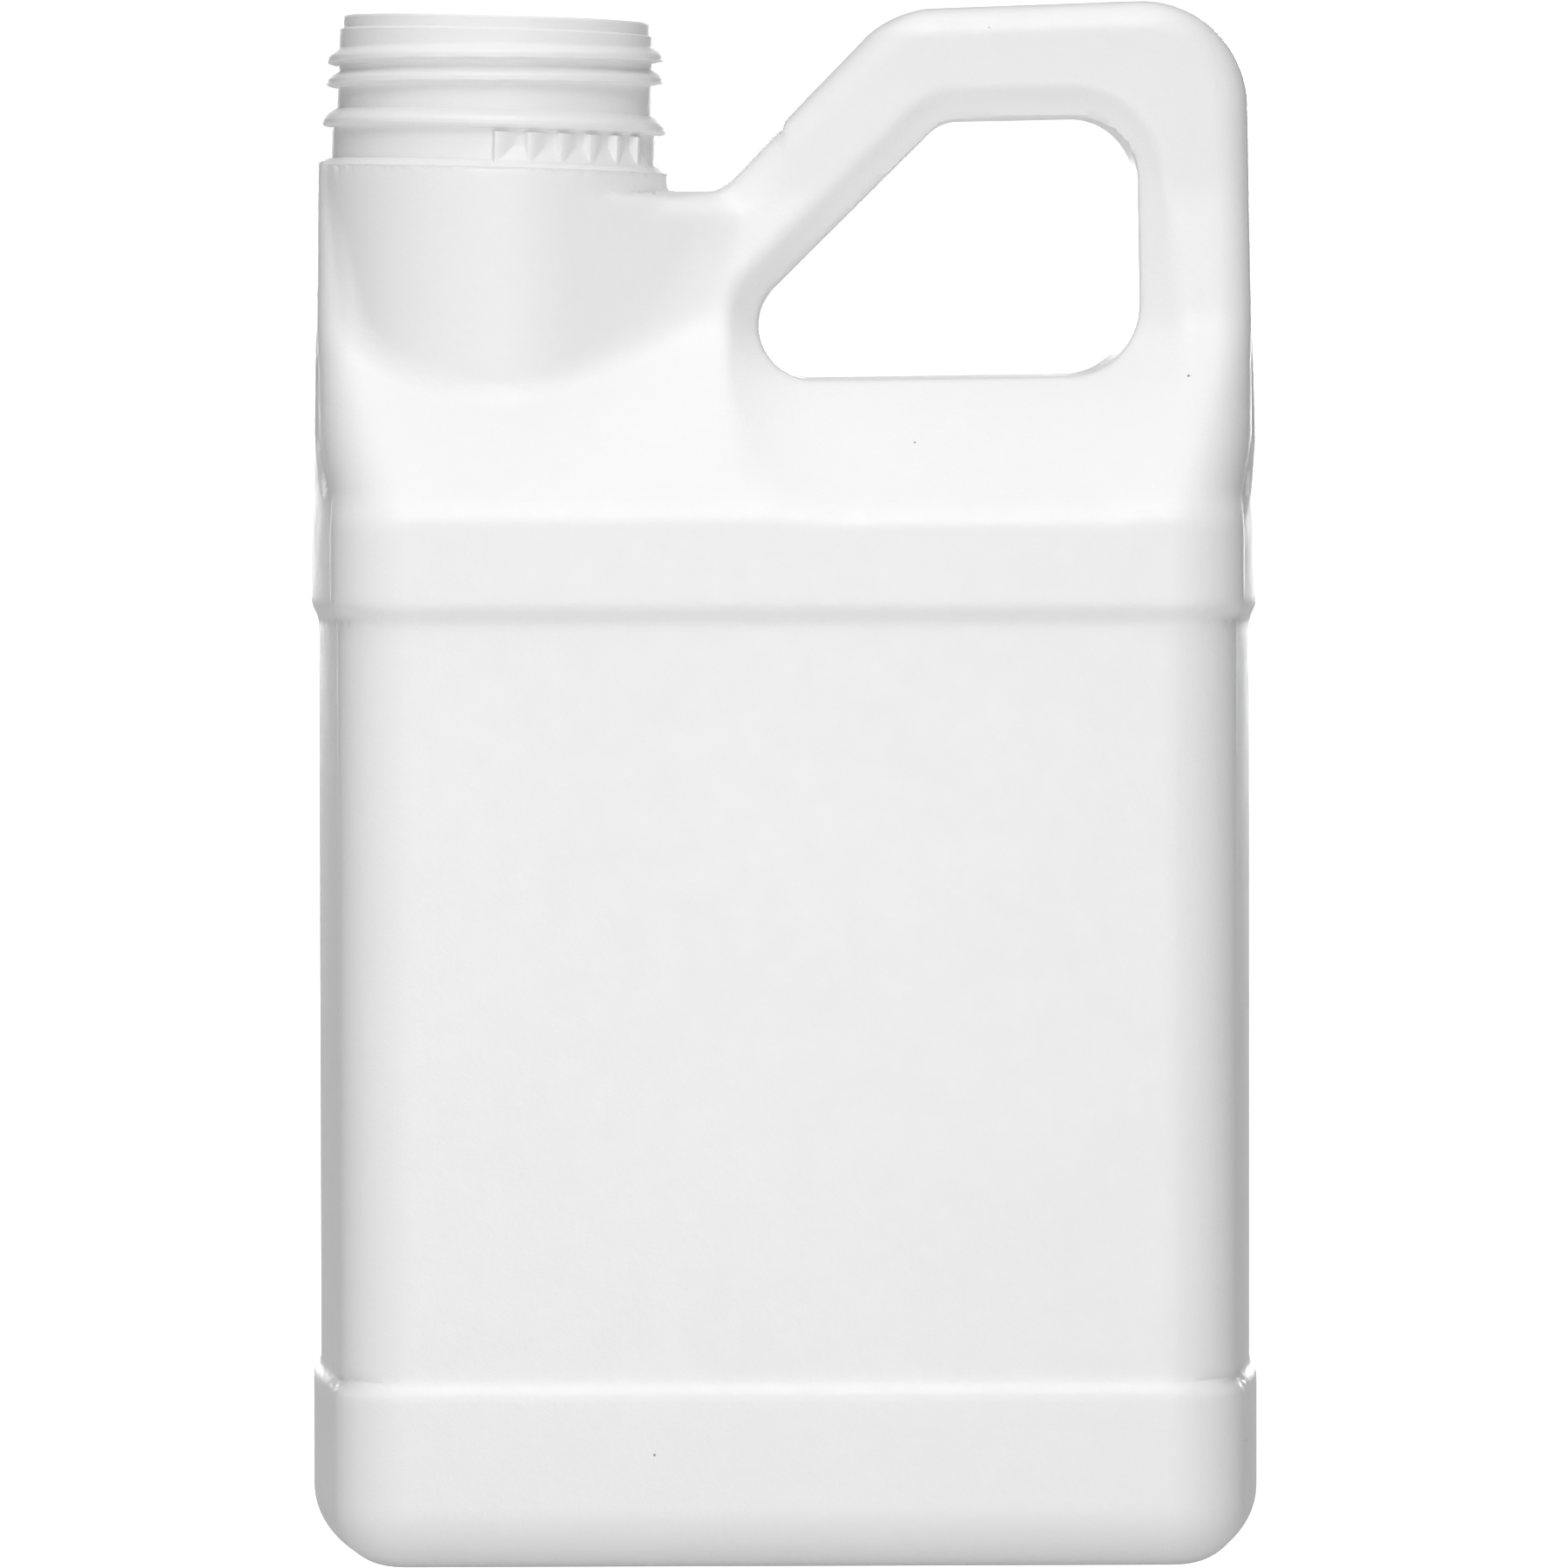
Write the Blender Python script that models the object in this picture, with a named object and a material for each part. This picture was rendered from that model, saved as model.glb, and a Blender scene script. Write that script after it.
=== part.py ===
"""F-style jug: one hollow blow-moulded piece, with an open threaded neck and an integral handle.

Metres, +Z up. X runs across the broad front, from the neck (-X) to the handle (+X). Y is the depth,
and the two mould halves meet at Y = 0. The origin is the middle of the base, on the ground.

The blown form is written as a field over space: it is below zero inside, zero on the outer face and
about the distance to that face near by. A net of faces is drawn over its zero level. The neck
finish, which is cut to a closer size, is lofted ring by ring and joined to it.
"""

import math
from itertools import product

import bpy
import numpy as np

# Front outline, at the plane where the mould halves meet
HALF_WIDTH = 0.0891
DRAW_IN_HEIGHT = 0.190  # above this the sides lean in by about a degree
TOP_LEFT = (-0.0873, 0.2850)
TOP_RIGHT = (0.0873, 0.2912)
TOP_RIGHT_RADIUS = 0.020
BASE_DROP = 0.040  # the outline runs on below the base, which a plane cuts off

# The step in the top where the neck stands, left of the handle's sloping bar
WEB_HEIGHT = 0.254
WEB_CORNER_X = -0.013
WEB_LIFT = 0.012  # the web runs on up beside the collar, on the side away from the handle
WEB_FADE = (-0.078, -0.060)
BAR_TOP_X = 0.0200
BAR_TOP_HEIGHT = 0.2880
WEB_RADIUS = 0.003
BAR_TOP_RADIUS = 0.005

# Depth from front to back
HALF_DEPTH = 0.056
SHOULDER_HEIGHT = 0.195
SHOULDER_SLOPE = 1.045  # depth lost for each unit of height
SHOULDER_BLEND = 0.0035
CREST_HEIGHT = 0.232
CREST_HALF_DEPTH = 0.0205
CREST_SLOPE = 0.27
CREST_BLEND = 0.004
HANDLE_HALF_DEPTH = 0.014
BODY_EDGE_RADIUS = 0.014
HANDLE_EDGE_RADIUS = 0.0065
EDGE_CHANGE = (0.200, 0.232)  # heights between which one radius turns into the other

# Draft of the side walls, which leaves a crease where they meet the rounded edges
SIDE_DRAFT = 0.11
HANDLE_DRAFT = 0.06
DRAFT_FADE = (0.196, 0.211)

# Label panel, set back all round between two bands
PANEL_BOTTOM = 0.0329
PANEL_TOP = 0.1778
PANEL_DEPTH = 0.0018
PANEL_SIDE_DEPTH = 0.0014
STEP_BOTTOM_RISE = 0.0023
STEP_TOP_RISE = 0.0030
STEP_BLEND = 0.0006

# Base
BASE_RADIUS = 0.0115
RECESS_HALF_WIDTH = 0.060
RECESS_HALF_DEPTH = 0.037
RECESS_CORNER = 0.014
RECESS_RISE = 0.0025
RECESS_EDGE_RADIUS = 0.0015

# Turret under the neck: round, and drawn out to a nose towards the handle
NECK_X = -0.0546
TURRET_RADIUS = 0.0333
TURRET_NOSE_X = -0.0235
TURRET_NOSE_RADIUS = 0.0199
TURRET_TOP_RADIUS = 0.0055
TURRET_LEDGE_SHARE = 1.4  # the ledge's edge radius over the ledge's width, where it is narrow
TURRET_FILLET = 0.003
TURRET_FILLET_FADE = (-0.087, -0.081)
TURRET_FOOT = 0.180  # inside the shoulder, where the turret ends
COLLAR_HEIGHT = 0.2603
COLLAR_CHAMFER = 0.0012
WEB_BELOW_COLLAR = 0.0005
WEB_EDGE_RADIUS = 0.0005

# Handle opening, whose walls draw in towards the mould plane, and the bevel from it to a rim,
# which is narrow round the handle and wide below, where fingers reach in
OPENING_CORNERS = (
    (-0.0190, 0.2196, 0.0099),
    (0.0662, 0.2208, 0.0135),
    (0.0662, 0.2687, 0.0115),
    (0.0298, 0.2680, 0.0080),
)
OPENING_DRAFT = 0.02
OPENING_EDGE_RADIUS = 0.0007
RIM_CORNERS = (
    (0.0080, 0.1880, 0.0040),
    (0.0640, 0.1880, 0.0040),
    (0.0752, 0.2220, 0.0080),
    (0.0694, 0.2748, 0.0175),
    (0.0273, 0.2741, 0.0140),
    (-0.0105, 0.2365, 0.0100),
    (-0.0110, 0.2200, 0.0100),
    (-0.0080, 0.2035, 0.0080),
)
BEVEL_DEPTH_LEFT = 0.0064
BEVEL_DEPTH_RIGHT = 0.0046
BEVEL_DEPTH_TOP = 0.0027
BEVEL_SIDE_FADE = (-0.005, 0.025)
BEVEL_TOP_FADE = (0.240, 0.264)
BEVEL_TOP_CURVE = 0.5
BEVEL_BLEND = 0.15

# Neck finish, in its own frame: heights from just below the collar's top, radii from the axis
NECK_HEIGHT = 0.2596
NECK_LEAN = math.radians(1.6)
BORE_RADIUS = 0.0268
SKIRT_RADIUS = 0.0307
THREAD_ROOT_RADIUS = 0.02975
LIP_RADIUS = 0.02905
NECK_RISE = 0.0277
LIP_LEDGE = 0.0254
BEAD_RADIUS = 0.03245
BEAD_BOTTOM = 0.0066
BEAD_TOP = 0.0103
NECK_SEGMENTS = 48
THREAD_RADIUS = 0.03175
THREAD_PITCH = 0.0042
THREAD_START = math.radians(150)  # angles from +X, anticlockwise from above
THREAD_TURN = math.radians(600)
THREAD_START_HEIGHT = 0.0147
THREAD_FADE = math.radians(25)
THREAD_STEP = math.radians(10)
RATCHET_TEETH = 6
RATCHET_PITCH = math.radians(11.2)
RATCHET_START = math.radians(-90)
RATCHET_RISE = 0.0014
RATCHET_TOP = 0.0058

# Plastic and mesh
WALL = 0.0016
OUTSIDE_NET = 0.0016
INSIDE_NET = 0.0025
OUTSIDE_SHARE = 0.043  # share of the net's triangles that is kept
INSIDE_SHARE = 0.036
THIN_REACH = 0.0004  # the furthest that a corner moves in one step when it is seated again
HDPE_COLOUR = (0.83, 0.83, 0.83, 1.0)
HDPE_ROUGHNESS = 0.42


def fade(value, low, high):
    """0 below low, 1 above high, smooth between."""
    share = np.clip((value - low) / (high - low), 0.0, 1.0)
    return share * share * (3.0 - 2.0 * share)


def round_max(a, b, radius):
    """The space inside both fields, its edge rounded."""
    return np.minimum(np.maximum(a, b), -radius) + np.hypot(
        np.maximum(a + radius, 0.0), np.maximum(b + radius, 0.0)
    )


def round_min(a, b, radius):
    """The space inside either field, the corner between them filleted."""
    return -round_max(-a, -b, radius)


def soft_min(a, b, blend):
    """The lower of two numbers, smooth where they come within blend of each other."""
    share = np.maximum(blend - np.abs(a - b), 0.0) / blend
    return np.minimum(a, b) - share * share * blend / 4.0


def soft_max(a, b, blend):
    """The higher of two numbers, smooth where they come within blend of each other."""
    return -soft_min(-a, -b, blend)


def rounded_polygon(x, z, corners):
    """Distance to a convex polygon, its corners (x, z, radius) given anticlockwise."""
    count = len(corners)
    points = [np.array(corner[:2]) for corner in corners]
    normals = []
    for i in range(count):
        along = points[(i + 1) % count] - points[i]
        normals.append(np.array((along[1], -along[0])) / np.linalg.norm(along))
    planes = [(x - p[0]) * n[0] + (z - p[1]) * n[1] for p, n in zip(points, normals)]
    distance = planes[0]
    for plane in planes[1:]:
        distance = np.maximum(distance, plane)
    for i in range(count):
        before, after, radius = normals[i - 1], normals[i], corners[i][2]
        centre = points[i] - radius * (before + after) / (1.0 + before @ after)
        dx, dz = x - centre[0], z - centre[1]
        in_corner = (before[0] * dz - before[1] * dx > 0) & (dx * after[1] - dz * after[0] > 0)
        distance = np.where(in_corner, np.hypot(dx, dz) - radius, distance)
    return distance


def front_outline(x, z):
    """The whole front view at the mould plane, without the opening in the handle."""
    whole = rounded_polygon(x, z, (
        (-HALF_WIDTH, -BASE_DROP, 0.001),
        (HALF_WIDTH, -BASE_DROP, 0.001),
        (HALF_WIDTH, DRAW_IN_HEIGHT, 0.1),
        (*TOP_RIGHT, TOP_RIGHT_RADIUS),
        (*TOP_LEFT, 0.001),
        (-HALF_WIDTH, DRAW_IN_HEIGHT, 0.1),
    ))
    bar_slope = (BAR_TOP_X - WEB_CORNER_X) / (BAR_TOP_HEIGHT - WEB_HEIGHT)
    far = 0.12
    lift = WEB_LIFT * (1.0 - fade(x, *WEB_FADE))
    notch = rounded_polygon(x, z - lift, (
        (WEB_CORNER_X, WEB_HEIGHT, WEB_RADIUS),
        (WEB_CORNER_X + far * bar_slope, WEB_HEIGHT + far, 0.001),
        (-3.0 * far, WEB_HEIGHT + far, 0.001),
        (-3.0 * far, WEB_HEIGHT, 0.001),
    ))
    return round_max(whole, -notch, BAR_TOP_RADIUS)


def panel_step(z):
    """How far the label panel is set back at a height, as a share of its full depth."""
    below = -(z - PANEL_BOTTOM) / STEP_BOTTOM_RISE
    above = (z - PANEL_TOP) / STEP_TOP_RISE
    return -np.maximum(-1.0, soft_min(0.0, np.maximum(below, above), STEP_BLEND / PANEL_DEPTH))


def shoulder_depth(z, sink=0.0):
    """Half depth at a height: upright walls, then the shoulder's roof and its crest, sunk or not."""
    roof = HALF_DEPTH - SHOULDER_SLOPE * (z - SHOULDER_HEIGHT)
    crest = CREST_HALF_DEPTH - CREST_SLOPE * (z - CREST_HEIGHT)
    upper = soft_max(soft_max(roof, crest, CREST_BLEND), HANDLE_HALF_DEPTH, CREST_BLEND / 4.0)
    return soft_min(HALF_DEPTH, upper - sink, SHOULDER_BLEND)


def bevel_sink(x, z):
    """How far the bevel sinks the surface: most at the opening, nothing at the rim and beyond."""
    to_opening = rounded_polygon(x, z, OPENING_CORNERS)
    to_rim = -rounded_polygon(x, z, RIM_CORNERS)
    share = np.clip(to_rim / np.maximum(to_opening + to_rim, 0.001), -1.0, 1.3)
    share = soft_max(0.0, share, BEVEL_BLEND)
    up = fade(z, *BEVEL_TOP_FADE)
    side = fade(x, *BEVEL_SIDE_FADE)
    depth = BEVEL_DEPTH_LEFT + (BEVEL_DEPTH_RIGHT - BEVEL_DEPTH_LEFT) * side
    depth = depth + (BEVEL_DEPTH_TOP - depth) * up
    return depth * (1.0 - np.maximum(1.0 - share, 0.0) ** (1.0 + BEVEL_TOP_CURVE * up))


def half_depth(x, z):
    """Half depth of the jug at a point of its front view."""
    return shoulder_depth(z, bevel_sink(x, z)) - PANEL_DEPTH * panel_step(z)


def collar_height(x, z):
    """Height above the leaning plane of the collar's top."""
    return z + math.tan(NECK_LEAN) * (x - NECK_X) - COLLAR_HEIGHT


def blown_body(x, y, z):
    """Body and handle together, without the turret, the opening and the base's recess."""
    nudge = 0.0002
    depth = half_depth(x, z)
    slope_x = (half_depth(x + nudge, z) - half_depth(x - nudge, z)) / (2.0 * nudge)
    slope_z = (half_depth(x, z + nudge) - half_depth(x, z - nudge)) / (2.0 * nudge)
    faces = (np.abs(y) - depth) / np.sqrt(1.0 + slope_x**2 + slope_z**2)
    edge_change = fade(z, *EDGE_CHANGE)
    edge = BODY_EDGE_RADIUS + (HANDLE_EDGE_RADIUS - BODY_EDGE_RADIUS) * edge_change
    draft = SIDE_DRAFT + (HANDLE_DRAFT - SIDE_DRAFT) * fade(z, *DRAFT_FADE)
    outward = np.where(x < 0.0, -1.0, 1.0)
    set_in = PANEL_SIDE_DEPTH * panel_step(z)
    wall = shoulder_depth(z) - PANEL_DEPTH * panel_step(z)
    reach = np.maximum(wall - edge, 0.001)
    core = round_max(faces, front_outline(x + outward * (set_in + draft * reach), z), edge)
    bow = draft * np.minimum(y * y / reach, reach)
    sides = front_outline(x + outward * (set_in + bow), z)
    body = np.minimum(core, np.maximum(sides, faces + edge))
    beside_neck = np.minimum(collar_height(x, z) + WEB_BELOW_COLLAR, NECK_X - x)
    body = round_max(body, beside_neck, WEB_EDGE_RADIUS)
    return round_max(body, -z, BASE_RADIUS)


def turret(x, y, z):
    """Upright round turret below the neck, drawn out to a nose towards the handle, and its collar."""
    across = x - NECK_X
    span = TURRET_NOSE_X - NECK_X
    taper = (TURRET_RADIUS - TURRET_NOSE_RADIUS) / span
    level = math.sqrt(1.0 - taper * taper)
    out = np.hypot(across, y)
    along = level * across - taper * np.abs(y)
    flank = level * np.abs(y) + taper * across
    wall = np.where(along < 0.0, out, flank) - TURRET_RADIUS
    nose = np.hypot(across - span, y) - TURRET_NOSE_RADIUS
    wall = np.where(along > level * span, nose, wall)
    edge = np.clip(TURRET_LEDGE_SHARE * (out - TURRET_RADIUS), 0.0004, TURRET_TOP_RADIUS)
    drawn_out = round_max(wall, z - WEB_HEIGHT, edge)
    circle = out - TURRET_RADIUS
    height = collar_height(x, z)
    chamfer = (circle + height + COLLAR_CHAMFER) / math.sqrt(2.0)
    collar = np.maximum(np.maximum(circle, height), chamfer)
    return np.maximum(np.minimum(drawn_out, collar), TURRET_FOOT - z)


def base_recess(x, y, z):
    """The shallow panel under the base, which leaves a flat ring to stand on."""
    out_x = np.abs(x) - RECESS_HALF_WIDTH + RECESS_CORNER
    out_y = np.abs(y) - RECESS_HALF_DEPTH + RECESS_CORNER
    plan = np.hypot(np.maximum(out_x, 0.0), np.maximum(out_y, 0.0))
    plan = plan + np.minimum(np.maximum(out_x, out_y), 0.0) - RECESS_CORNER
    return round_max((plan + z) / math.sqrt(2.0), z - RECESS_RISE, 0.001)


def outside(x, y, z):
    """The outer face of the whole blown form, up to the collar."""
    fillet = TURRET_FILLET * fade(x, *TURRET_FILLET_FADE) + 1e-6
    body = round_min(blown_body(x, y, z), turret(x, y, z), fillet)
    opening = rounded_polygon(x, z, OPENING_CORNERS) - OPENING_DRAFT * np.abs(y)
    body = round_max(body, -opening, OPENING_EDGE_RADIUS)
    return round_max(body, -base_recess(x, y, z), RECESS_EDGE_RADIUS)


def inside(x, y, z):
    """The hollow, one wall thickness in from the outer face."""
    return outside(x, y, z) + WALL


def net_cells(value):
    """Mark the grid cells that the zero level crosses, with the mean place of its crossings."""
    cells = tuple(n - 1 for n in value.shape)
    total = np.zeros((*cells, 3))
    crossings = np.zeros(cells)
    for start in product((0, 1), repeat=3):
        for axis in range(3):
            if start[axis]:
                continue
            end = [start[k] + (k == axis) for k in range(3)]
            a = value[tuple(slice(o, o + n) for o, n in zip(start, cells))]
            b = value[tuple(slice(o, o + n) for o, n in zip(end, cells))]
            crossed = (a < 0) != (b < 0)
            crossings += crossed
            for k in range(3):
                total[..., k] += crossed * float(start[k])
            total[..., axis] += np.where(crossed, a / np.where(crossed, a - b, 1.0), 0.0)
    return crossings > 0, total, crossings


def net_faces(value, index):
    """Four-sided faces, facing out, one round each grid edge that crosses the zero level."""
    faces = []
    for axis in range(3):
        u, v = (axis + 1) % 3, (axis + 2) % 3
        low = np.take(value, range(value.shape[axis] - 1), axis) < 0
        high = np.take(value, range(1, value.shape[axis]), axis) < 0
        at = np.argwhere(low != high)
        step_u, step_v = np.eye(3, dtype=int)[u], np.eye(3, dtype=int)[v]
        around = [at - step_u - step_v, at - step_v, at, at - step_u]
        quads = np.stack([index[tuple(cell.T)] for cell in around], axis=1)
        outward = low[tuple(at.T)]
        faces.append(np.where(outward[:, None], quads, quads[:, ::-1]))
    return np.concatenate(faces)


def pull_to_surface(field, points, reach):
    """Move points onto the field's zero level along its slope."""
    nudge = 1e-4
    for _ in range(3):
        value = field(*points.T)
        slope = np.stack([
            (field(*(points + step).T) - field(*(points - step).T)) / (2.0 * nudge)
            for step in nudge * np.eye(3)
        ], axis=1)
        move = value / np.maximum((slope**2).sum(axis=1), 0.25)
        points = points - slope * np.clip(move, -reach, reach)[:, None]
    return points


def net(name, field, low, high, step):
    """A closed mesh over the zero level of a field, between two corners of a box."""
    axes = [np.arange(a, b + step, step) for a, b in zip(low, high)]
    value = field(*np.meshgrid(*axes, indexing="ij", sparse=True))
    active, total, crossings = net_cells(value)
    index = np.full(active.shape, -1)
    index[active] = np.arange(active.sum())
    points = np.argwhere(active) + total[active] / crossings[active][:, None]
    points = pull_to_surface(field, np.array(low) + points * step, 0.5 * step)
    return new_object(name, points.tolist(), net_faces(value, index).tolist())


def loft(rings):
    """Points and faces of a closed solid through rings of equal count, both ends capped."""
    count = len(rings[0])
    points = [point for ring in rings for point in ring]
    faces = [tuple(reversed(range(count)))]
    for r in range(len(rings) - 1):
        for i in range(count):
            j = (i + 1) % count
            faces.append((r * count + i, r * count + j, (r + 1) * count + j, (r + 1) * count + i))
    faces.append(tuple((len(rings) - 1) * count + i for i in range(count)))
    return points, faces


def polar(radius, angle, height):
    """A point of the neck's own frame."""
    return (radius * math.cos(angle), radius * math.sin(angle), height)


def circle_ring(radius, height):
    """A ring of points round the neck's axis."""
    angles = [math.tau * i / NECK_SEGMENTS for i in range(NECK_SEGMENTS)]
    return [polar(radius, angle, height) for angle in angles]


def new_object(name, points, faces):
    """Add a mesh object made of points and faces."""
    mesh = bpy.data.meshes.new(name)
    mesh.from_pydata(points, [], faces)
    mesh.update()
    made = bpy.data.objects.new(name, mesh)
    bpy.context.scene.collection.objects.link(made)
    return made


def hide_guide(guide):
    """Show an object as a wire that only shapes another."""
    guide.hide_render = True
    guide.display_type = "WIRE"


def add_boolean(target, other, operation):
    """Combine a hidden object into another by a Boolean modifier."""
    hide_guide(other)
    modifier = target.modifiers.new(f"{operation.title()} {other.name}", "BOOLEAN")
    modifier.operation = operation
    modifier.object = other
    modifier.solver = "EXACT"


def stand_on_collar(made):
    """Place something of the neck's own frame on the collar, leaning with the neck."""
    made.location = (NECK_X, 0.0, NECK_HEIGHT)
    made.rotation_euler = (0.0, NECK_LEAN, 0.0)


def make_neck():
    """Turned neck: skirt wall, bead, thread root and thin lip, from inside the collar to the rim."""
    profile = (
        (SKIRT_RADIUS, -0.008),
        (SKIRT_RADIUS, BEAD_BOTTOM),
        (BEAD_RADIUS, BEAD_BOTTOM + 0.0006),
        (BEAD_RADIUS, BEAD_BOTTOM + 0.0018),
        (THREAD_ROOT_RADIUS, BEAD_TOP),
        (THREAD_ROOT_RADIUS, LIP_LEDGE - 0.0004),
        (LIP_RADIUS, LIP_LEDGE),
        (LIP_RADIUS, NECK_RISE - 0.0004),
        (LIP_RADIUS - 0.0004, NECK_RISE),
    )
    neck = new_object("neck", *loft([circle_ring(*point) for point in profile]))
    stand_on_collar(neck)
    return neck


def make_thread():
    """Buttress thread that climbs the neck, steep below and sloping above, fading at both ends."""
    rings = []
    for i in range(round(THREAD_TURN / THREAD_STEP) + 1):
        turned = i * THREAD_STEP
        angle = THREAD_START + turned
        height = THREAD_START_HEIGHT + THREAD_PITCH * turned / math.tau
        ends = min(turned, THREAD_TURN - turned) / THREAD_FADE
        crest = THREAD_ROOT_RADIUS + 0.0002 + (THREAD_RADIUS - THREAD_ROOT_RADIUS) * min(ends, 1.0)
        root = THREAD_ROOT_RADIUS - 0.0010
        rings.append([
            polar(root, angle, height - 0.0009),
            polar(crest, angle, height - 0.0004),
            polar(crest, angle, height + 0.0004),
            polar(root, angle, height + 0.0022),
        ])
    thread = new_object("thread", *loft([ring[::-1] for ring in rings]))
    stand_on_collar(thread)
    return thread


def make_tooth(number, start):
    """One ratchet wedge on the skirt wall: an upright face that falls away to nothing."""
    rings = []
    for share, rise in ((0.0, RATCHET_RISE), (0.45, 0.6 * RATCHET_RISE), (0.9, 0.0)):
        angle = start + share * RATCHET_PITCH
        inner, outer = SKIRT_RADIUS - 0.001, SKIRT_RADIUS + rise + 0.0001
        rings.append([
            polar(inner, angle, -0.002),
            polar(outer, angle, -0.002),
            polar(outer, angle, RATCHET_TOP - 0.0008),
            polar(inner, angle, RATCHET_TOP),
        ])
    tooth = new_object(f"tooth_{number}", *loft([ring[::-1] for ring in rings]))
    stand_on_collar(tooth)
    return tooth


def make_ratchet():
    """Two runs of teeth on opposite sides of the neck."""
    starts = [RATCHET_START, RATCHET_START + math.pi]
    angles = [start + i * RATCHET_PITCH for start in starts for i in range(RATCHET_TEETH)]
    return [make_tooth(number, angle) for number, angle in enumerate(angles)]


def make_bore():
    """Straight bore from the hollow up through the lip."""
    rings = [circle_ring(BORE_RADIUS, height) for height in (-0.012, NECK_RISE + 0.005)]
    bore = new_object("bore", *loft(rings))
    stand_on_collar(bore)
    return bore


def thin_out(made, share, field):
    """Keep a share of the triangles, most where the surface turns, and seat them on the field."""
    made.modifiers.new("Thin out", "DECIMATE").ratio = share
    graph = bpy.context.evaluated_depsgraph_get()
    mesh = bpy.data.meshes.new_from_object(made.evaluated_get(graph))
    points = np.empty(3 * len(mesh.vertices))
    mesh.vertices.foreach_get("co", points)
    seated = pull_to_surface(field, points.reshape(-1, 3), THIN_REACH)
    mesh.vertices.foreach_set("co", seated.ravel())
    made.modifiers.clear()
    made.data = mesh


def make_hollow():
    """The space inside the jug, neck included."""
    low = (-0.092, -0.060, -0.004)
    high = (0.092, 0.060, 0.294)
    hollow = net("hollow", inside, low, high, INSIDE_NET)
    thin_out(hollow, INSIDE_SHARE, inside)
    add_boolean(hollow, make_bore(), "UNION")
    return hollow


def white_hdpe():
    """White HDPE as it leaves the mould, dull and opaque."""
    material = bpy.data.materials.new("white_hdpe")
    material.use_nodes = True
    shader = material.node_tree.nodes["Principled BSDF"]
    shader.inputs["Base Color"].default_value = HDPE_COLOUR
    shader.inputs["Roughness"].default_value = HDPE_ROUGHNESS
    shader.inputs["Metallic"].default_value = 0.0
    return material


def make_jug():
    """The jug, from its blown form, its neck finish and its hollow."""
    low = (-0.093, -0.060, -0.004)
    high = (0.093, 0.060, 0.295)
    jug = net("jug", outside, low, high, OUTSIDE_NET)
    jug.data.materials.append(white_hdpe())
    thin_out(jug, OUTSIDE_SHARE, outside)
    for piece in (make_neck(), make_thread(), *make_ratchet()):
        add_boolean(jug, piece, "UNION")
    add_boolean(jug, make_hollow(), "DIFFERENCE")
    jug.data.shade_smooth()
    jug.data.set_sharp_from_angle(angle=math.radians(35))
    return jug


for leftover in list(bpy.data.objects):
    bpy.data.objects.remove(leftover)
make_jug()
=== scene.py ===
"""Looks of an F-style jug: a white blow-moulded HDPE jug, uncapped, in a plain studio.

The jug's form is drawn here as finely as it shows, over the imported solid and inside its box. The
blown form is a field over space, below zero inside the plastic's outer face. A net of faces is
drawn over its zero level. The neck finish is turned as rings, and the hollow is cut out of both.
"""

import logging
import math
from dataclasses import dataclass, field
from enum import Enum
from itertools import product
from typing import Callable, Sequence

import bpy
import numpy as np
from mathutils import Matrix, Vector

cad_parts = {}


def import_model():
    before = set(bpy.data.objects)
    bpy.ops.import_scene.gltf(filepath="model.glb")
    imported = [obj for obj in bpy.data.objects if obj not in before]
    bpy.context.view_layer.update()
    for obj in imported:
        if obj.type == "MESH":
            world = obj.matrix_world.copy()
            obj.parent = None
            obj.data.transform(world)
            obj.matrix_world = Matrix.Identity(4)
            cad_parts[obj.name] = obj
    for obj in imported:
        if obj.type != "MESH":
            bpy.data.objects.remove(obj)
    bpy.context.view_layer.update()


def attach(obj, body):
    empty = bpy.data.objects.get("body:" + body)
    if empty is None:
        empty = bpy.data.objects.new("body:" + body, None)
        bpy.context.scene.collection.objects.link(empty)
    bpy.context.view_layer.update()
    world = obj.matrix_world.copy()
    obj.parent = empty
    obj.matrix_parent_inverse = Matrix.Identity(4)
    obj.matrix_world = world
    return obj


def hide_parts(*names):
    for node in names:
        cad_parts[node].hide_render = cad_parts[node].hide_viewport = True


Array = np.ndarray
Field = Callable[[Array, Array, Array], Array]
Ring = list[tuple[float, float, float]]
Corner = tuple[float, float, float]

MM = 0.001
BODY = "root"
NODE = "jug"

log = logging.getLogger("jug")


class Cut(Enum):
    """The ways in which one closed mesh changes another."""

    JOIN = "UNION"
    HOLLOW = "DIFFERENCE"


def fade(value: Array, low: float, high: float) -> Array:
    """Turn a value into a smooth share.

    Args:
        value: The value to judge.
        low: Where the share starts to leave 0.
        high: Where the share reaches 1.

    Returns:
        0 below low, 1 above high, and a smooth curve between.
    """
    share = np.clip((value - low) / (high - low), 0.0, 1.0)
    return share * share * (3.0 - 2.0 * share)


def round_max(a: Array, b: Array, radius: Array | float) -> Array:
    """Keep the space inside both fields, with a round edge.

    Args:
        a: The first field's values.
        b: The second field's values.
        radius: The edge's radius.

    Returns:
        The values of the space inside both.
    """
    round_off = np.hypot(np.maximum(a + radius, 0.0), np.maximum(b + radius, 0.0))
    return np.minimum(np.maximum(a, b), -radius) + round_off


def round_min(a: Array, b: Array, radius: Array | float) -> Array:
    """Keep the space inside either field, with a fillet between them.

    Args:
        a: The first field's values.
        b: The second field's values.
        radius: The fillet's radius.

    Returns:
        The values of the space inside either.
    """
    return -round_max(-a, -b, radius)


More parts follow.
